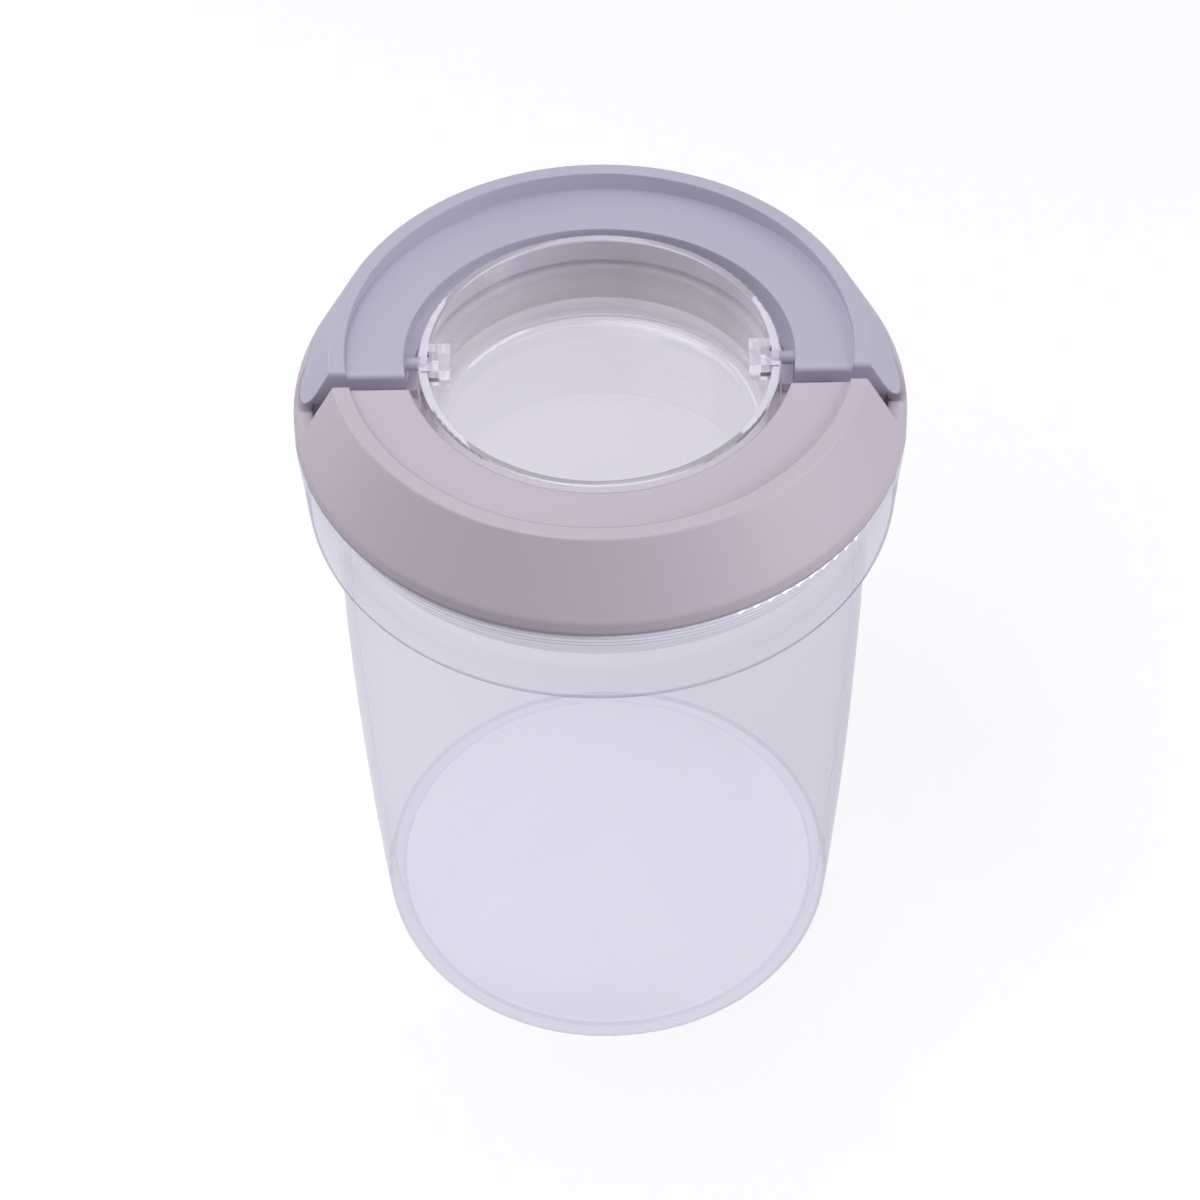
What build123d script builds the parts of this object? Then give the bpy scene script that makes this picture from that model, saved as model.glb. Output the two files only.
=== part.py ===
from build123d import *
import math
import os

os.makedirs("parts", exist_ok=True)

# A clear round food canister with a flip-handle sealing lid, in millimetres.
# Z is up, the front of the lid faces -Y, and the handle turns about a line along X.

# Canister
rim_height = 151.0
mouth_radius = 60.2
rim_wall = 2.6
collar_height = 20.6
collar_draft = 1.2
collar_wall = 2.4
ledge_width = 5.5
body_taper = 4.0
wall_bow = 1.35
wall = 2.2
floor_thickness = 3.0
base_round = 1.0
inner_base_round = 2.5
ledge_round = 1.2
rim_round = 0.7
foot_inset = 4.0
foot_height = 0.8
gate_radius = 2.6
gate_height = 0.5

# Lid ring, heights above the canister rim
skirt_inset = 0.2
skirt_band = 3.2
skirt_round = 1.3
lid_height = 18.5
slope_run = 8.2
ridge_width = 3.2
ridge_round = 0.6
recess_end_step = 0.9
recess_tilt = 3.2
window_gap = 3.15
lid_wall = 2.2
deck_height = 5.4
band_height = 6.5
band_inset = 4.0
guide_clearance = 0.4
guide_wall = 2.0
guide_depth = 3.2
seat_depth = 2.8
seat_wall = 2.0
seat_width = 8.7
plug_clearance = 1.2
crown_gap = 2.5

# Window cup
cup_inset = 22.3
cup_wall = 1.9
cup_above_pivot = 1.4
cup_floor_depth = 8.0
cup_floor = 2.2
cup_round = 3.0
cup_rim_round = 0.5
flange_clearance = 2.0
flange_thickness = 2.0
locating_rib_width = 1.0
locating_rib_height = 1.5
pocket_wall = 2.3
pocket_floor_wall = 0.6
pocket_rise = 0.4
pin_side_room = 0.25
pin_end_room = 1.5
pin_snap = 0.6
pin_lead = 1.4

# Flip handle
pivot_below_top = 5.4
handle_gap = 0.3
hole_rear_gap = 1.0
hole_side_gap = 2.6
handle_end_round = 1.2
pin_radius = 1.4
pin_clearance = 0.05
pin_engagement = 2.7
pin_tip_chamfer = 0.5
cam_gap = 3.0
cam_width = 6.8
cam_offset = 0.8
cam_clearance = 0.25
sweep_clearance = 0.4
end_lift = 0.4
rib_width = 1.6
rib_count = 5
rib_drop = 1.5

# Gasket
gasket_gap = 0.3
gasket_bulge = 1.0

overrun = 5.0

# Radii that follow from the mouth, outside and below it
rim_radius = mouth_radius + rim_wall
mouth_low_radius = mouth_radius - collar_draft
collar_radius = mouth_low_radius + collar_wall
shoulder_radius = collar_radius - ledge_width
base_radius = shoulder_radius - body_taper
foot_radius = base_radius - foot_inset

# Radii that follow from the mouth, in the lid
skirt_radius = rim_radius - skirt_inset
ridge_radius = skirt_radius - slope_run
recess_radius = ridge_radius - ridge_width
band_lip_radius = skirt_radius - band_inset
plug_radius = mouth_radius - plug_clearance
seat_inner_radius = plug_radius - seat_width
flange_radius = mouth_radius - flange_clearance
cup_radius = plug_radius - cup_inset
guide_radius = cup_radius + guide_clearance
window_radius = cup_radius + window_gap
hole_rear = cup_radius + hole_rear_gap
hole_side = cup_radius + hole_side_gap
cam_inner = cup_radius + cam_gap
ear_inner = cam_inner + cam_width
pin_reach = cup_radius - pin_engagement

# The handle's hole stands off the cup at the pins and nears it at the rear, so its centre is forward
handle_hole_radius = (hole_rear + hole_side**2 / hole_rear) / 2
handle_hole_place = (0, hole_rear - handle_hole_radius)

# Heights that follow
rim = rim_height
ledge = rim - collar_height
lid_top = rim + lid_height
deck = rim + deck_height
web_low = deck - lid_wall
band_top = rim + band_height
pivot = lid_top - pivot_below_top
seat = rim - seat_depth
flange_low = rim - cup_floor_depth - cup_floor
flange_top = flange_low + flange_thickness
slope = slope_run / (lid_height - skirt_band)
slope_wall_drop = lid_wall * math.sqrt(1 + slope**2) / slope

# Hinge: the ears stand on the deck, and the crown's end clears the corner that they carry round
cup_drop = 2 * cam_offset
handle_end = pivot - deck
cam_radius = handle_end - cam_clearance - cam_offset
crown_end = math.hypot(handle_end, pivot_below_top) + crown_gap
well_floor = deck - cup_drop - sweep_clearance


def skirt_at(height):
    """Radius of the lid's outer slope at a height."""
    return skirt_radius - slope * (height - rim - skirt_band)


def corners(sketch, points):
    """The sketch's own corners that lie nearest to the given points."""
    return [sketch.vertices().sort_by_distance(point)[0] for point in points]


def recess_floor(end, towards):
    """Plane of the recessed top: it starts at an end face and falls away to the front or rear."""
    start = (0, -end, lid_top - recess_end_step)
    lean = math.radians(recess_tilt)
    return Plane(origin=start, x_dir=(1, 0, 0), z_dir=(0, towards * math.sin(lean), math.cos(lean)))


handle_floor = recess_floor(handle_end, 1)
crown_floor = recess_floor(crown_end, -1)

# Canister: one clear moulding, a bowed tapered wall under a wider collar
with BuildPart() as canister:
    outer_mid = ((base_radius + shoulder_radius) / 2 + wall_bow, ledge / 2)
    inner_mid = (outer_mid[0] - wall, outer_mid[1])
    with BuildSketch(Plane.XZ) as canister_section:
        with BuildLine():
            Polyline(
                (0, foot_height),
                (foot_radius, foot_height),
                (foot_radius + foot_height, 0),
                (base_radius, 0),
            )
            ThreePointArc((base_radius, 0), outer_mid, (shoulder_radius, ledge))
            Polyline(
                (shoulder_radius, ledge),
                (collar_radius, ledge),
                (rim_radius, rim),
                (mouth_radius, rim),
                (mouth_low_radius, ledge + wall),
                (shoulder_radius - wall, ledge + wall),
            )
            ThreePointArc(
                (shoulder_radius - wall, ledge + wall), inner_mid, (base_radius - wall, floor_thickness)
            )
            Polyline((base_radius - wall, floor_thickness), (0, floor_thickness), (0, foot_height))
        make_face()
        fillet(corners(canister_section, [(base_radius, 0)]), base_round)
        fillet(corners(canister_section, [(base_radius - wall, floor_thickness)]), inner_base_round)
        ledge_corners = [
            (collar_radius, ledge),
            (shoulder_radius, ledge),
            (mouth_low_radius, ledge + wall),
            (shoulder_radius - wall, ledge + wall),
        ]
        fillet(corners(canister_section, ledge_corners), ledge_round)
        fillet(corners(canister_section, [(rim_radius, rim), (mouth_radius, rim)]), rim_round)
    revolve(axis=Axis.Z)
    with BuildSketch(Plane.XY.offset(floor_thickness)):
        Circle(gate_radius)
    extrude(amount=gate_height)

# The hollow under the raised front half of the lid, between its ring walls
with BuildPart() as crown_core:
    with BuildSketch(Plane.XZ):
        channel_start = window_radius + lid_wall
        with Locations((channel_start, web_low - overrun)):
            Rectangle(seat_inner_radius - channel_start, lid_height + overrun, align=Align.MIN)
        channel_in = seat_inner_radius + seat_wall
        channel_out = plug_radius - seat_wall
        with BuildLine():
            Polyline(
                (channel_in, web_low - overrun),
                (channel_out, web_low - overrun),
                (channel_out, rim + skirt_band + (skirt_radius - channel_out) / slope - slope_wall_drop),
                (channel_in, rim + skirt_band + (skirt_radius - channel_in) / slope - slope_wall_drop),
                close=True,
            )
        make_face()
    revolve(axis=Axis.Z)
    split(bisect_by=Plane.XZ.offset(crown_end + lid_wall), keep=Keep.TOP)
    split(bisect_by=crown_floor.offset(-lid_wall), keep=Keep.BOTTOM)

# The wells that the handle's ends turn down into
with BuildPart() as end_wells:
    with BuildSketch(Plane.YZ):
        with Locations((-crown_end, well_floor)):
            Rectangle(crown_end, band_height + lid_height, align=Align.MIN)
    extrude(amount=skirt_radius, both=True)
    with BuildSketch(Plane.XY.offset(well_floor)):
        Circle(band_lip_radius)
    extrude(amount=lid_height, mode=Mode.INTERSECT)
    sweep_radius = handle_end + sweep_clearance
    for side in (1, -1):
        with BuildSketch(Plane.YZ.offset(side * (ear_inner - sweep_clearance))):
            with Locations((0, pivot), (0, pivot - cup_drop)):
                Circle(sweep_radius)
            with Locations((0, pivot - cup_drop / 2)):
                Rectangle(2 * sweep_radius, cup_drop)
        extrude(amount=side * skirt_radius)
    with BuildSketch(Plane.XY.offset(well_floor - overrun)):
        Circle(guide_radius - guide_clearance)
    extrude(amount=pivot, mode=Mode.SUBTRACT)

# Floors of the wells, hung under the deck
with BuildPart() as well_pans:
    with BuildSketch(Plane.XY.offset(well_floor - lid_wall)):
        Circle(plug_radius)
        Circle(guide_radius, mode=Mode.SUBTRACT)
        pan_rear = handle_end
        pan_front = -crown_end - lid_wall
        with Locations((0, (pan_rear + pan_front) / 2)):
            Rectangle(2 * skirt_radius, pan_rear - pan_front, mode=Mode.INTERSECT)
    extrude(amount=lid_wall)

# Lid ring: raised front half, low rear deck, outer band, guide bore and gasket seat
with BuildPart() as lid_ring:
    with BuildSketch(Plane.XZ) as crown_section:
        with BuildLine():
            Polyline(
                (window_radius, web_low),
                (plug_radius, web_low),
                (plug_radius, rim),
                (skirt_radius, rim),
                (skirt_radius, rim + skirt_band),
                (ridge_radius, lid_top),
                (window_radius, lid_top),
                close=True,
            )
        make_face()
        fillet(corners(crown_section, [(ridge_radius, lid_top)]), ridge_round)
        fillet(corners(crown_section, [(skirt_radius, rim + skirt_band)]), skirt_round)
    revolve(axis=Axis.Z)
    split(bisect_by=Plane.XZ.offset(crown_end), keep=Keep.TOP)
    with BuildSketch(crown_floor):
        with Locations((0, crown_end)):
            Circle(recess_radius)
    extrude(amount=lid_height, mode=Mode.SUBTRACT)
    with BuildSketch(Plane.XZ) as base_section:
        with BuildLine():
            Polyline(
                (guide_radius, rim - guide_depth),
                (guide_radius + guide_wall, rim - guide_depth),
                (guide_radius + guide_wall, web_low),
                (seat_inner_radius, web_low),
                (seat_inner_radius, seat),
                (seat_inner_radius + seat_wall, seat),
                (seat_inner_radius + seat_wall, web_low),
                (plug_radius - seat_wall, web_low),
                (plug_radius - seat_wall, seat),
                (plug_radius, seat),
                (plug_radius, rim),
                (skirt_radius, rim),
                (skirt_radius, rim + skirt_band),
                (skirt_at(band_top), band_top),
                (band_lip_radius, band_top),
                (band_lip_radius, deck),
                (guide_radius, deck),
                close=True,
            )
        make_face()
        fillet(corners(base_section, [(skirt_radius, rim + skirt_band)]), skirt_round)
    revolve(axis=Axis.Z)
    add(well_pans.part)
    add(end_wells.part, mode=Mode.SUBTRACT)
    add(crown_core.part, mode=Mode.SUBTRACT)

# Window cup: clear, with a squeeze flange under the lid and two hinge pockets in its wall
with BuildPart() as window_cup:
    bore = cup_radius - cup_wall
    cup_top = pivot + cup_above_pivot
    cup_floor_top = flange_low + cup_floor
    rib_outer = seat_inner_radius - gasket_gap
    with BuildSketch(Plane.XZ) as cup_section:
        with BuildLine():
            Polyline(
                (0, flange_low),
                (flange_radius, flange_low),
                (flange_radius, flange_top),
                (rib_outer, flange_top),
                (rib_outer, flange_top + locating_rib_height),
                (rib_outer - locating_rib_width, flange_top + locating_rib_height),
                (rib_outer - locating_rib_width, flange_top),
                (cup_radius, flange_top),
                (cup_radius, cup_top),
                (bore, cup_top),
                (bore, cup_floor_top),
                (0, cup_floor_top),
                close=True,
            )
        make_face()
        fillet(corners(cup_section, [(bore, cup_floor_top)]), cup_round)
        fillet(corners(cup_section, [(cup_radius, cup_top), (bore, cup_top)]), cup_rim_round)
    revolve(axis=Axis.Z)
    pocket_top = cup_top + pocket_rise
    pocket_floor = pivot - pin_radius - pin_side_room
    pocket_low = pocket_floor - pocket_floor_wall
    cavity_half_width = pin_radius + pin_side_room
    cavity_reach = pin_engagement - cup_wall + pin_end_room
    pocket_reach = cavity_reach + pocket_wall
    pin_neck = 2 * (pin_radius - pin_snap / 2)
    neck_top = pivot + pin_radius / 2
    for side in (1, -1):
        with BuildSketch(Plane.XY.offset(pocket_low)):
            with Locations((side * (bore + cup_wall / 2 - pocket_reach / 2), 0)):
                Rectangle(pocket_reach + cup_wall, 2 * (cavity_half_width + pocket_wall))
            Circle(cup_radius - cup_rim_round, mode=Mode.INTERSECT)
        extrude(amount=pocket_top - pocket_low)
        with BuildSketch(Plane.XY.offset(pocket_floor)):
            with Locations((side * (bore - cavity_reach / 2), 0)):
                Rectangle(cavity_reach, 2 * cavity_half_width)
        extrude(amount=cup_top, mode=Mode.SUBTRACT)
        with BuildSketch(Plane.YZ.offset(side * (bore - cavity_reach))):
            with Locations((0, pivot)):
                Circle(pin_radius + pin_clearance)
            with BuildLine():
                Polyline(
                    (-pin_neck / 2, pivot),
                    (pin_neck / 2, pivot),
                    (pin_neck / 2, neck_top),
                    (pin_neck / 2 + pin_lead / 2, cup_top),
                    (-pin_neck / 2 - pin_lead / 2, cup_top),
                    (-pin_neck / 2, neck_top),
                    close=True,
                )
            make_face()
        extrude(amount=side * (cavity_reach + cup_wall + overrun), mode=Mode.SUBTRACT)

# What rounds the ridge's front edges on the handle
with BuildPart() as ridge_rounding:
    with BuildSketch(Plane.YZ):
        round_low = lid_top - handle_end_round
        with Locations((-handle_end, round_low)):
            Rectangle(handle_end_round, 2 * handle_end_round, align=Align.MIN)
        with Locations((handle_end_round - handle_end, round_low)):
            Circle(handle_end_round, mode=Mode.SUBTRACT)
    extrude(amount=skirt_radius, both=True)

# The hollow under the handle, left standing as radial ribs
with BuildPart() as handle_core:
    with BuildSketch(Plane.XZ):
        core_low = band_top - overrun
        with BuildLine():
            Polyline(
                (cup_radius, core_low),
                (skirt_at(core_low + slope_wall_drop), core_low),
                (skirt_at(lid_top + slope_wall_drop), lid_top),
                (cup_radius, lid_top),
                close=True,
            )
        make_face()
    revolve(axis=Axis.Z)
    with BuildSketch(Plane.XY.offset(core_low)):
        with Locations(handle_hole_place):
            Circle(handle_hole_radius + lid_wall)
    extrude(amount=lid_top, mode=Mode.SUBTRACT)
    split(bisect_by=Plane.XZ.offset(handle_end - lid_wall), keep=Keep.BOTTOM)
    split(bisect_by=handle_floor.offset(-lid_wall), keep=Keep.BOTTOM)
    rib_step = 180 / (rib_count + 1)
    rib_low = band_top + rib_drop
    with BuildSketch(Plane.XY.offset(rib_low)):
        with PolarLocations(recess_radius, rib_count, rib_step, 180 - 2 * rib_step, endpoint=True):
            Rectangle(skirt_radius, rib_width)
    extrude(amount=lid_height, mode=Mode.SUBTRACT)

# Round ears at the handle's ends, concentric with its pins, and the hollow inside them
with BuildPart() as ears:
    for side in (1, -1):
        with BuildSketch(Plane.YZ.offset(side * ear_inner)):
            with Locations((0, pivot)):
                Circle(handle_end)
        extrude(amount=side * skirt_radius)
    ear_low = pivot - handle_end
    with BuildSketch(Plane.XZ):
        with BuildLine():
            Polyline(
                (0, ear_low),
                (skirt_at(ear_low), ear_low),
                (skirt_at(pivot), pivot),
                (0, pivot),
                close=True,
            )
        make_face()
    revolve(axis=Axis.Z, mode=Mode.INTERSECT)

with BuildPart() as ear_hollows:
    for side in (1, -1):
        with BuildSketch(Plane.YZ.offset(side * (ear_inner + lid_wall))):
            with Locations((0, pivot)):
                Circle(handle_end - lid_wall)
        extrude(amount=side * skirt_radius)
    with BuildSketch(Plane.XZ):
        with BuildLine():
            Polyline(
                (0, ear_low),
                (skirt_at(ear_low + slope_wall_drop), ear_low),
                (skirt_at(pivot + slope_wall_drop), pivot),
                (0, pivot),
                close=True,
            )
        make_face()
    revolve(axis=Axis.Z, mode=Mode.INTERSECT)

# Eccentric cams that bear on the deck: their reach shrinks by the cup's drop as the handle lifts
with BuildPart() as cams:
    for side in (1, -1):
        with BuildSketch(Plane.YZ.offset(side * cam_inner)):
            with Locations((cam_offset, pivot - cam_offset)):
                Circle(cam_radius)
        extrude(amount=side * (ear_inner - cam_inner))
    split(bisect_by=handle_floor.offset(-lid_wall / 2), keep=Keep.BOTTOM)

# Pins moulded on the cams, reaching into the cup's pockets
with BuildPart() as pins:
    for side in (1, -1):
        with BuildSketch(Plane.XZ):
            with BuildLine():
                Polyline(
                    (side * pin_reach, pivot),
                    (side * pin_reach, pivot + pin_radius - pin_tip_chamfer),
                    (side * (pin_reach + pin_tip_chamfer), pivot + pin_radius),
                    (side * ear_inner, pivot + pin_radius),
                    (side * ear_inner, pivot),
                    close=True,
                )
            make_face()
        revolve(axis=Axis((0, 0, pivot), (1, 0, 0)))

# What is cut from the handle's underside in front of the pivot: all between the ears, and round the ears
with BuildPart() as end_trim:
    trim_height = pivot - band_top
    with BuildSketch(Plane.YZ):
        with Locations((-handle_end - overrun, band_top)):
            Rectangle(handle_end + overrun, trim_height + end_lift, align=Align.MIN)
    extrude(amount=ear_inner, both=True)
    for side in (1, -1):
        with BuildSketch(Plane.YZ.offset(side * ear_inner)):
            with Locations((-handle_end - overrun, band_top)):
                Rectangle(handle_end + overrun, trim_height, align=Align.MIN)
            with Locations((0, pivot)):
                Circle(handle_end, mode=Mode.SUBTRACT)
        extrude(amount=side * skirt_radius)

# Flip handle: half ring with ears, eccentric cams and moulded pins at its two ends
with BuildPart() as flip_handle:
    skirt_low = band_top + handle_gap
    with BuildSketch(Plane.XZ) as handle_section:
        with BuildLine():
            Polyline(
                (cup_radius, skirt_low),
                (skirt_at(skirt_low), skirt_low),
                (ridge_radius, lid_top),
                (cup_radius, lid_top),
                close=True,
            )
        make_face()
        fillet(corners(handle_section, [(ridge_radius, lid_top)]), ridge_round)
    revolve(axis=Axis.Z)
    split(bisect_by=Plane.XZ.offset(handle_end), keep=Keep.BOTTOM)
    with BuildSketch(handle_floor):
        with Locations((0, handle_end)):
            Circle(recess_radius)
    extrude(amount=lid_height, mode=Mode.SUBTRACT)
    with BuildSketch(Plane.XY.offset(skirt_low)):
        with Locations(handle_hole_place):
            Circle(handle_hole_radius)
    extrude(amount=lid_height, mode=Mode.SUBTRACT)
    recess_middle = (recess_radius + hole_side) / 2
    end_edges = flip_handle.edges().filter_by(Axis.X)
    recess_edges = [
        end_edges.sort_by_distance((side * recess_middle, -handle_end, lid_top - recess_end_step))[0]
        for side in (1, -1)
    ]
    fillet(recess_edges, handle_end_round)
    add(ridge_rounding.part, mode=Mode.SUBTRACT)
    add(handle_core.part, mode=Mode.SUBTRACT)
    add(end_trim.part, mode=Mode.SUBTRACT)
    add(ears.part)
    add(ear_hollows.part, mode=Mode.SUBTRACT)
    add(cams.part)
    add(pins.part)

# Squeeze gasket: silicone ring between the lid's seat walls and the cup's flange
with BuildPart() as squeeze_gasket:
    gasket_low = flange_top + gasket_gap
    mouth_slope = (mouth_radius - mouth_low_radius) / (collar_height - wall)
    gasket_radius = mouth_radius - mouth_slope * (rim - gasket_low) - gasket_gap
    gasket_waist = gasket_radius - gasket_bulge
    with BuildSketch(Plane.XZ):
        with BuildLine():
            Polyline(
                (gasket_waist, gasket_low),
                (seat_inner_radius, gasket_low),
                (seat_inner_radius, seat),
                (gasket_waist, seat),
            )
            ThreePointArc(
                (gasket_waist, seat), (gasket_radius, (seat + gasket_low) / 2), (gasket_waist, gasket_low)
            )
        make_face()
    revolve(axis=Axis.Z)

for name, node in {
    "canister": canister,
    "lid_ring": lid_ring,
    "window_cup": window_cup,
    "flip_handle": flip_handle,
    "squeeze_gasket": squeeze_gasket,
}.items():
    node.part.label = name
    export_step(node.part, f"parts/{name}.step")
    print(name, len(node.part.solids()), round(node.part.volume))
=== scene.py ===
import math

import bpy
from mathutils import Matrix, Vector

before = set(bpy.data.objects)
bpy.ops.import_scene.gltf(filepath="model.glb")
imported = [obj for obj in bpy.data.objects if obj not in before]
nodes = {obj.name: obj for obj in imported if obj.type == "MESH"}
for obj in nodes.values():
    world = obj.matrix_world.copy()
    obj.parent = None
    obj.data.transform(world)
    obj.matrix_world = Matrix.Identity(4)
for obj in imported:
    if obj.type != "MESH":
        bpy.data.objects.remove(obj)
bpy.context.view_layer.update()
print("packed model loaded:", ", ".join(sorted(nodes)))


def toLinear(hexColour, alpha=1.0):
    # sRGB hex such as "cdbfc9" to the linear colour that shaders take
    values = [int(hexColour[i : i + 2], 16) / 255 for i in (0, 2, 4)]
    linear = [v / 12.92 if v <= 0.04045 else ((v + 0.055) / 1.055) ** 2.4 for v in values]
    return (*linear, alpha)


def addNode(tree, kind, settings=None, links=None):
    # one node with its settings (input sockets by name or number, or attributes)
    # and the sockets that feed it
    node = tree.nodes.new(kind)
    for name, value in (settings or {}).items():
        if isinstance(name, int) or name in node.inputs:
            node.inputs[name].default_value = value
        else:
            setattr(node, name, value)
    for name, source in (links or {}).items():
        tree.links.new(source, node.inputs[name])
    return node


def newMaterial(name):
    material = bpy.data.materials.new(name)
    material.use_nodes = True
    material.node_tree.nodes.clear()
    return material, material.node_tree


canisterLook = {
    "tint": "fdfdfe",
    "clearness": 0.99,  # the rest is a faint haze in the plastic
    "depthTint": "cac8d4",
    "depth": 6.0,  # how fast the tint deepens, per metre of plastic
    "roughness": 0.02,
    "ior": 1.001,  # a thin even wall hardly bends the view, though the plastic's own index is 1.56
    "gloss": 0.1,
    "glossIor": 1.56,
    "wavesPerMetre": 28.0,  # flow marks of the moulding, each about 36 mm long
    "waveDetail": 1.0,
    "waveFineness": 0.4,
    "waveStrength": 0.02,
    "waveHeight": 0.002,
    "lampTint": "f5f5f8",  # what lamplight keeps on its way through a wall
    # height in metres, cast and strength, a painted reflection: darker lilac lines at the collar's
    # lower edge, then at the rim lilac lines and metal-like bands that mirror the room, standing in
    # for light reflected totally inside the rim
    "paintedLightBands": [
        (0.1304, "fdfdfe", 0.0),
        (0.1305, "c6c1d8", 0.0),
        (0.1319, "cbc6db", 0.0),
        (0.1323, "fdfdfe", 0.0),
        (0.1474, "fdfdfe", 0.0),
        (0.1480, "fdfdfe", 0.5),
        (0.1482, "cdc7de", 0.5),
        (0.1484, "fdfdfe", 0.55),
        (0.1490, "fdfdfe", 0.6),
        (0.1492, "c4bddb", 0.55),
        (0.1494, "fdfdfe", 0.6),
        (0.1500, "fdfdfe", 0.6),
        (0.1502, "c4bddb", 0.55),
        (0.1504, "fdfdfe", 0.5),
        (0.1507, "fdfdfe", 0.0),
    ],
    "paintedLightBetween": (0.0607, 0.07),  # metres from the axis: the outer face only
    "paintedLightAbove": 1.0,  # metres, and higher than the piece, so nothing is added
    "paintedLightAsMirror": True,
    "footHeight": 0.0007,  # metres: the foot ring and the rounded corner above it
    "footTint": "e9e6ef",
}
cupLook = {
    **canisterLook,
    "tint": "fefbfe",
    "clearness": 0.955,
    "ior": 1.22,
    "gloss": 1.0,
    # painted highlight: the wall's foot and the rim are paler and hazy in bands, standing in for
    # the light they gather from the rest of the cup
    "paintedLightBands": [
        (0.1433, "fefbfe", 0.0),
        (0.1435, "f6f3fb", 0.65),
        (0.1470, "f7f4fb", 0.55),
        (0.1530, "f8f5fc", 0.45),
        (0.1570, "fbf8fd", 0.2),
        (0.1650, "fefbfe", 0.1),
        (0.1651, "f6f2fc", 0.38),
        (0.1657, "f6f2fc", 0.38),
    ],
    "paintedLightBetween": (0.0346, 0.0357),  # the bore's own wall, without the hinge pockets
    "paintedLightAbove": 0.165,  # the rim has them right across
    "paintedLightAsMirror": False,  # here their strength is haze, which paints a highlight
}


def paintedLightByHeight(tree, place, look):
    # the cast and the strength of the painted reflection and highlight bands that follow the
    # height: they lie on one round face and above one height, and the strength counts on that
    # face's outward side only
    apart = addNode(tree, "ShaderNodeSeparateXYZ", links={"Vector": place.outputs["Object"]})
    height = apart.outputs["Z"]
    first, *others = look["paintedLightBands"]
    low, high = first[0], others[-1][0]
    share = addNode(
        tree,
        "ShaderNodeMapRange",
        {"From Min": low, "From Max": high},
        {"Value": height},
    )
    ramp = addNode(tree, "ShaderNodeValToRGB", links={"Fac": share.outputs["Result"]})
    stops = ramp.color_ramp.elements
    stops.remove(stops[-1])
    stops[0].color = toLinear(first[1], first[2])
    for level, cast, paintedLightStrength in others:
        stop = stops.new((level - low) / (high - low))
        stop.color = toLinear(cast, paintedLightStrength)

    flat = addNode(
        tree,
        "ShaderNodeVectorMath",
        {"operation": "MULTIPLY", 1: (1, 1, 0)},
        {0: place.outputs["Object"]},
    )
    reach = addNode(
        tree,
        "ShaderNodeVectorMath",
        {"operation": "LENGTH"},
        {0: flat.outputs["Vector"]},
    )
    radius = reach.outputs["Value"]
    inner, outer = look["paintedLightBetween"]
    tests = {
        "beyond": ("GREATER_THAN", radius, inner),
        "within": ("LESS_THAN", radius, outer),
        "above": ("GREATER_THAN", height, look["paintedLightAbove"]),
        "foot": ("LESS_THAN", height, look["footHeight"]),
    }
    where = {}
    for name, (operation, value, limit) in tests.items():
        test = addNode(tree, "ShaderNodeMath", {"operation": operation, 1: limit}, {0: value})
        where[name] = test.outputs["Value"]
    either = addNode(
        tree,
        "ShaderNodeMath",
        {"operation": "MAXIMUM"},
        {0: where["within"], 1: where["above"]},
    )
    face = addNode(
        tree,
        "ShaderNodeMath",
        {"operation": "MULTIPLY"},
        {0: where["beyond"], 1: either.outputs["Value"]},
    )

    paintedBandColour = addNode(
        tree,
        "ShaderNodeMixRGB",
        {"Color1": toLinear(look["tint"])},
        {"Fac": face.outputs["Value"], "Color2": ramp.outputs["Color"]},
    )
    cast = addNode(
        tree,
        "ShaderNodeMixRGB",
        {"Color2": toLinear(look["footTint"])},
        {"Fac": where["foot"], "Color1": paintedBandColour.outputs["Color"]},
    )
    side = addNode(tree, "ShaderNodeNewGeometry")
    outside = addNode(
        tree,
        "ShaderNodeMath",
        {"operation": "SUBTRACT", 0: 1.0},
        {1: side.outputs["Backfacing"]},
    )
    outward = addNode(
        tree,
        "ShaderNodeMath",
        {"operation": "MULTIPLY"},
        {0: face.outputs["Value"], 1: outside.outputs["Value"]},
    )
    paintedLightStrength = addNode(
        tree,
        "ShaderNodeMath",
        {"operation": "MULTIPLY"},
        {0: ramp.outputs["Alpha"], 1: outward.outputs["Value"]},
    )
    return cast.outputs["Color"], paintedLightStrength.outputs["Value"]


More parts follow.
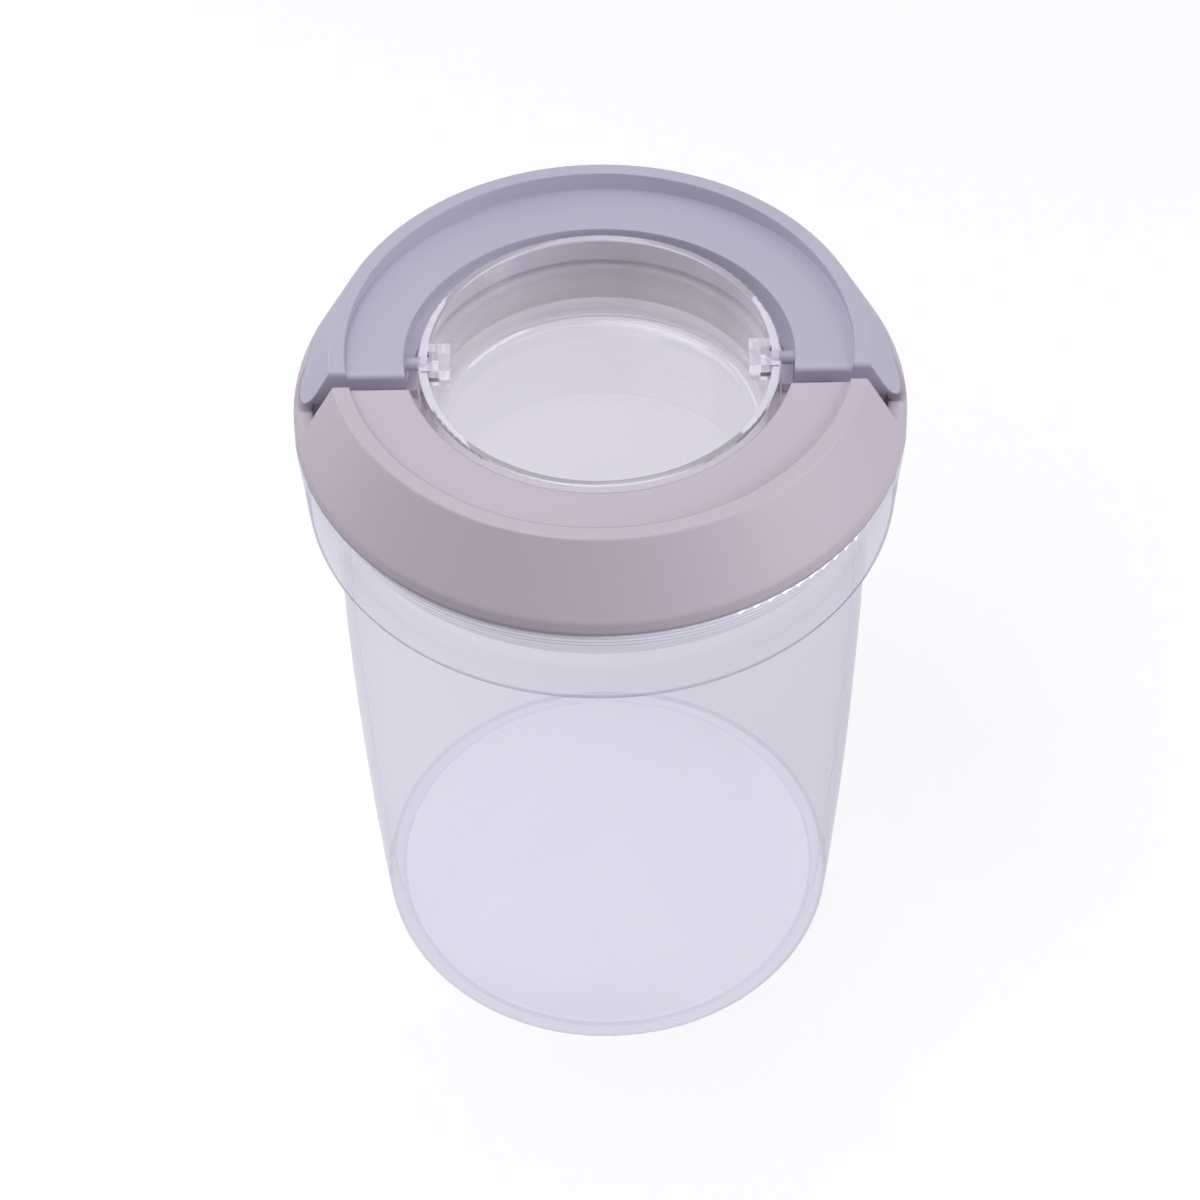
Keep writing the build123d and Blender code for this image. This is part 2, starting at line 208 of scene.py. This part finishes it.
def makeClearPlastic(name, look):
    # SAN, injection moulded in a polished tool: clear, glossy, with long soft flow waves
    # and a faint lilac cast that deepens with each wall that the eye looks through
    material, tree = newMaterial(name)
    place = addNode(tree, "ShaderNodeTexCoord")
    waves = addNode(
        tree,
        "ShaderNodeTexNoise",
        {
            "Scale": look["wavesPerMetre"],
            "Detail": look["waveDetail"],
            "Roughness": look["waveFineness"],
        },
        {"Vector": place.outputs["Object"]},
    )
    bump = addNode(
        tree,
        "ShaderNodeBump",
        {"Strength": look["waveStrength"], "Distance": look["waveHeight"]},
        {"Height": waves.outputs["Fac"]},
    )
    cast, paintedLightStrength = paintedLightByHeight(tree, place, look)
    body = addNode(
        tree,
        "ShaderNodeBsdfPrincipled",
        {
            "Roughness": look["roughness"],
            "IOR": look["ior"],
            "Transmission Weight": look["clearness"],
            "Coat Weight": look["gloss"],
            "Coat IOR": look["glossIor"],
            "Coat Roughness": look["roughness"],
        },
        {
            "Base Color": cast,
            "Normal": bump.outputs["Normal"],
            "Coat Normal": bump.outputs["Normal"],
        },
    )
    # the band strength paints light: metal-like bands on the canister are a painted reflection,
    # haze bands on the cup a painted highlight
    if look["paintedLightAsMirror"]:
        tree.links.new(paintedLightStrength, body.inputs["Metallic"])
    else:
        clear = addNode(
            tree,
            "ShaderNodeMath",
            {"operation": "SUBTRACT", 0: look["clearness"]},
            {1: paintedLightStrength},
        )
        tree.links.new(clear.outputs["Value"], body.inputs["Transmission Weight"])
    # lamps shine through the wall, as they do through real clear plastic
    rays = addNode(tree, "ShaderNodeLightPath")
    passing = addNode(tree, "ShaderNodeBsdfTransparent", {"Color": toLinear(look["lampTint"])})
    mix = addNode(
        tree,
        "ShaderNodeMixShader",
        links={
            "Fac": rays.outputs["Is Shadow Ray"],
            1: body.outputs["BSDF"],
            2: passing.outputs["BSDF"],
        },
    )
    depth = addNode(
        tree,
        "ShaderNodeVolumeAbsorption",
        {"Color": toLinear(look["depthTint"]), "Density": look["depth"]},
    )
    addNode(
        tree,
        "ShaderNodeOutputMaterial",
        links={"Surface": mix.outputs["Shader"], "Volume": depth.outputs["Volume"]},
    )
    return material


ringLook = {
    "colour": "cabfcd",
    "shade": "c2b6c4",
    "cloudsPerMetre": 22.0,  # soft patches of the shade, each about 45 mm across
    "cloudDetail": 2.0,
    "cloudFineness": 0.5,
    "roughness": 0.42,
    "ior": 1.54,
    "grain": 0.00035,  # metres between marks, coarser than real spark erosion so that it shows
    "grainDetail": 1.0,
    "grainStrength": 0.05,
    "grainHeight": 0.0002,
    "softSkirt": 0.0018,  # radius in metres over which moulded edges look rounded, low down
    "softTop": 0.0006,  # and on top
    "softBetween": (0.156, 0.16),  # heights between which one turns into the other
    "softSamples": 8,
}
handleLook = {
    **ringLook,
    "colour": "bfbbce",
    "shade": "b5b1c5",
}


def makeLidPlastic(name, look):
    # ABS, injection moulded in a fine satin tool: even colour, soft sheen, a very fine grain
    material, tree = newMaterial(name)
    place = addNode(tree, "ShaderNodeTexCoord")
    cloud = addNode(
        tree,
        "ShaderNodeTexNoise",
        {
            "Scale": look["cloudsPerMetre"],
            "Detail": look["cloudDetail"],
            "Roughness": look["cloudFineness"],
        },
        {"Vector": place.outputs["Object"]},
    )
    colour = addNode(
        tree,
        "ShaderNodeMixRGB",
        {"Color1": toLinear(look["colour"]), "Color2": toLinear(look["shade"])},
        {"Fac": cloud.outputs["Fac"]},
    )
    grain = addNode(
        tree,
        "ShaderNodeTexNoise",
        {"Scale": 1 / look["grain"], "Detail": look["grainDetail"]},
        {"Vector": place.outputs["Object"]},
    )
    apart = addNode(tree, "ShaderNodeSeparateXYZ", links={"Vector": place.outputs["Object"]})
    softness = addNode(
        tree,
        "ShaderNodeMapRange",
        {
            "From Min": look["softBetween"][0],
            "From Max": look["softBetween"][1],
            "To Min": look["softSkirt"],
            "To Max": look["softTop"],
        },
        {"Value": apart.outputs["Z"]},
    )
    rounded = addNode(
        tree,
        "ShaderNodeBevel",
        {"samples": look["softSamples"]},
        {"Radius": softness.outputs["Result"]},
    )
    bump = addNode(
        tree,
        "ShaderNodeBump",
        {"Strength": look["grainStrength"], "Distance": look["grainHeight"]},
        {"Height": grain.outputs["Fac"], "Normal": rounded.outputs["Normal"]},
    )
    body = addNode(
        tree,
        "ShaderNodeBsdfPrincipled",
        {"Roughness": look["roughness"], "IOR": look["ior"]},
        {"Base Color": colour.outputs["Color"], "Normal": bump.outputs["Normal"]},
    )
    addNode(tree, "ShaderNodeOutputMaterial", links={"Surface": body.outputs["BSDF"]})
    return material


gasketLook = {
    "colour": "dfdce9",
    "roughness": 0.55,
    "ior": 1.41,
    "glow": 0.25,
    "glowReach": 0.004,  # metres that light travels inside the rubber
    "marksPerMetre": 90.0,  # soft unevenness, each mark about 11 mm long
    "markDetail": 2.0,
    "markStrength": 0.08,
    "markHeight": 0.0003,
}


def makeSilicone(name, look):
    # translucent silicone rubber, moulded: milky, with a soft sheen and no hard highlight
    material, tree = newMaterial(name)
    place = addNode(tree, "ShaderNodeTexCoord")
    marks = addNode(
        tree,
        "ShaderNodeTexNoise",
        {"Scale": look["marksPerMetre"], "Detail": look["markDetail"]},
        {"Vector": place.outputs["Object"]},
    )
    bump = addNode(
        tree,
        "ShaderNodeBump",
        {"Strength": look["markStrength"], "Distance": look["markHeight"]},
        {"Height": marks.outputs["Fac"]},
    )
    body = addNode(
        tree,
        "ShaderNodeBsdfPrincipled",
        {
            "Base Color": toLinear(look["colour"]),
            "Roughness": look["roughness"],
            "IOR": look["ior"],
            "Subsurface Weight": look["glow"],
            "Subsurface Radius": (look["glowReach"],) * 3,
            "Subsurface Scale": 1.0,  # so that the radius is in metres
        },
        {"Normal": bump.outputs["Normal"]},
    )
    addNode(tree, "ShaderNodeOutputMaterial", links={"Surface": body.outputs["BSDF"]})
    return material


finishes = {
    "canister": makeClearPlastic("mouldedClearSan", canisterLook),
    "window_cup": makeClearPlastic("mouldedClearSanCup", cupLook),
    "lid_ring": makeLidPlastic("satinAbsWarmGrey", ringLook),
    "flip_handle": makeLidPlastic("satinAbsCoolGrey", handleLook),
    "squeeze_gasket": makeSilicone("mouldedSilicone", gasketLook),
}
for name, material in finishes.items():
    slots = nodes[name].data.materials
    slots.clear()
    slots.append(material)
print("finishes made:", len(finishes))

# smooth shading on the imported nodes, without moving their skin
smoothing = {
    "weld": 0.000002,  # metres: triangles whose corners are this close share them
    "sharpAngle": 32,  # degrees: steeper edges stay sharp
    "largeFaces": 100,  # how much the larger faces count in a corner's normal
    "sameNormal": 0.0001,
}
for node in nodes.values():
    node.data.polygons.foreach_set("use_smooth", [True] * len(node.data.polygons))
    weld = node.modifiers.new("weld", "WELD")
    weld.merge_threshold = smoothing["weld"]
    split = node.modifiers.new("keepEdges", "EDGE_SPLIT")
    split.split_angle = math.radians(smoothing["sharpAngle"])
    even = node.modifiers.new("evenNormals", "WEIGHTED_NORMAL")
    even.mode = "FACE_AREA"
    even.weight = smoothing["largeFaces"]
    even.thresh = smoothing["sameNormal"]
print("nodes shaded smooth")

stage = {
    "floorColour": "b0b0b4",
    "floorSize": 4.0,
    "floorSeen": "cccccc",  # what the floor gives by itself, the rest is its light and shadow
    "floorThrough": "9c9aa5",
    "floorFade": (0.6, 1.8),  # metres from the middle, over which the floor turns into the backdrop
    "roomColour": "ffffff",
    "roomLight": 0.3,
    "backdropSeen": "ffffff",
    "backdropThrough": "e4e2ed",
    "mattBounces": 0.5,  # a ray with more than these behind it, so with any, only brings light
    "lampAim": (0, 0, 0.1),
}
lamps = {
    "softboxTopRear": {"power": 2.6, "size": 0.9, "place": (-0.15, 0.25, 1.2)},
    "softboxTopLeft": {"power": 4.1, "size": 0.9, "place": (-0.45, -0.3, 1.15)},
    "softboxLeft": {"power": 3.9, "size": 0.9, "place": (-1.0, 0.5, 0.5)},
    "softboxRight": {"power": 6.8, "size": 0.9, "place": (1.0, -0.35, 0.55)},
}


def backdrop(tree, seen, through):
    # the camera sees one colour, gloss and clear walls the other,
    # and the object's light is neither
    rays = addNode(tree, "ShaderNodeLightPath")
    colour = addNode(
        tree,
        "ShaderNodeMixRGB",
        {"Color1": toLinear(through), "Color2": toLinear(seen)},
        {"Fac": rays.outputs["Is Camera Ray"]},
    )
    share = rays.outputs["Is Camera Ray"]
    for name in ("Is Glossy Ray", "Is Transmission Ray"):
        step = addNode(
            tree,
            "ShaderNodeMath",
            {"operation": "ADD", "use_clamp": True},
            {0: share, 1: rays.outputs[name]},
        )
        share = step.outputs["Value"]
    # past the first matt surface a ray meets the room and not the backdrop
    first = addNode(
        tree,
        "ShaderNodeMath",
        {"operation": "LESS_THAN", 1: stage["mattBounces"]},
        {0: rays.outputs["Diffuse Depth"]},
    )
    sight = addNode(
        tree,
        "ShaderNodeMath",
        {"operation": "MULTIPLY"},
        {0: share, 1: first.outputs["Value"]},
    )
    return colour.outputs["Color"], sight.outputs["Value"]


def buildFloor():
    bpy.ops.mesh.primitive_plane_add(size=stage["floorSize"], location=(0, 0, 0))
    floor = bpy.context.object
    floor.name = "floor"
    material, tree = newMaterial("paleFloor")
    near, share = backdrop(tree, stage["floorSeen"], stage["floorThrough"])
    far, _ = backdrop(tree, stage["backdropSeen"], stage["backdropThrough"])
    place = addNode(tree, "ShaderNodeTexCoord")
    reach = addNode(
        tree,
        "ShaderNodeVectorMath",
        {"operation": "LENGTH"},
        {0: place.outputs["Object"]},
    )
    fade = addNode(
        tree,
        "ShaderNodeMapRange",
        {"From Min": stage["floorFade"][0], "From Max": stage["floorFade"][1]},
        {"Value": reach.outputs["Value"]},
    )
    colour = addNode(
        tree,
        "ShaderNodeMixRGB",
        links={"Fac": fade.outputs["Result"], "Color1": near, "Color2": far},
    )
    glow = addNode(
        tree,
        "ShaderNodeEmission",
        links={"Color": colour.outputs["Color"], "Strength": share},
    )
    matt = addNode(tree, "ShaderNodeBsdfDiffuse", {"Color": toLinear(stage["floorColour"])})
    both = addNode(
        tree,
        "ShaderNodeAddShader",
        links={0: glow.outputs["Emission"], 1: matt.outputs["BSDF"]},
    )
    addNode(tree, "ShaderNodeOutputMaterial", links={"Surface": both.outputs["Shader"]})
    floor.data.materials.append(material)


def buildWorld():
    world = bpy.data.worlds.new("studio")
    bpy.context.scene.world = world
    world.use_nodes = True
    tree = world.node_tree
    tree.nodes.clear()
    colour, share = backdrop(tree, stage["backdropSeen"], stage["backdropThrough"])
    room = addNode(
        tree,
        "ShaderNodeBackground",
        {"Color": toLinear(stage["roomColour"]), "Strength": stage["roomLight"]},
    )
    pale = addNode(tree, "ShaderNodeBackground", {"Strength": 1.0}, {"Color": colour})
    mix = addNode(
        tree,
        "ShaderNodeMixShader",
        links={"Fac": share, 1: room.outputs["Background"], 2: pale.outputs["Background"]},
    )
    addNode(tree, "ShaderNodeOutputWorld", links={"Surface": mix.outputs["Shader"]})


def buildLamp(name, look):
    lamp = bpy.data.lights.new(name, "AREA")
    lamp.energy = look["power"]
    lamp.size = look["size"]
    box = bpy.data.objects.new(name, lamp)
    bpy.context.scene.collection.objects.link(box)
    box.location = look["place"]
    aim = Vector(stage["lampAim"]) - box.location
    box.rotation_euler = aim.to_track_quat("-Z", "Y").to_euler()


buildFloor()
buildWorld()
for name, look in lamps.items():
    buildLamp(name, look)
print("stage built")

cameraSetup = {
    "elevation": 48.0,  # degrees above the horizon, seen from the front
    "roll": -1.01,  # degrees
    "lens": 99.18,  # millimetres, like the sensor
    "sensor": 36.0,
    "distance": 0.682,  # metres, like the rest
    "shiftRight": 0.000124,
    "shiftUp": 0.03596,
    "aimHeight": 0.1456,
    "nearest": 0.01,
}


def buildCamera():
    rise = math.radians(cameraSetup["elevation"])
    back = Vector((0, -math.cos(rise), math.sin(rise)))
    right = Vector((0, 0, 1)).cross(back).normalized()
    up = back.cross(right)
    roll = math.radians(cameraSetup["roll"])
    rolledRight = math.cos(roll) * right + math.sin(roll) * up
    rolledUp = math.cos(roll) * up - math.sin(roll) * right
    lens = bpy.data.cameras.new("camera")
    lens.lens = cameraSetup["lens"]
    lens.sensor_width = cameraSetup["sensor"]
    lens.clip_start = cameraSetup["nearest"]
    camera = bpy.data.objects.new("camera", lens)
    bpy.context.scene.collection.objects.link(camera)
    place = Vector((0, 0, cameraSetup["aimHeight"]))
    place += back * cameraSetup["distance"]
    place -= rolledRight * cameraSetup["shiftRight"] + rolledUp * cameraSetup["shiftUp"]
    turn = Matrix((rolledRight, rolledUp, back)).transposed()
    camera.matrix_world = Matrix.Translation(place) @ turn.to_4x4()
    bpy.context.scene.camera = camera


buildCamera()
bpy.context.scene.view_settings.view_transform = "Standard"
print("camera placed")
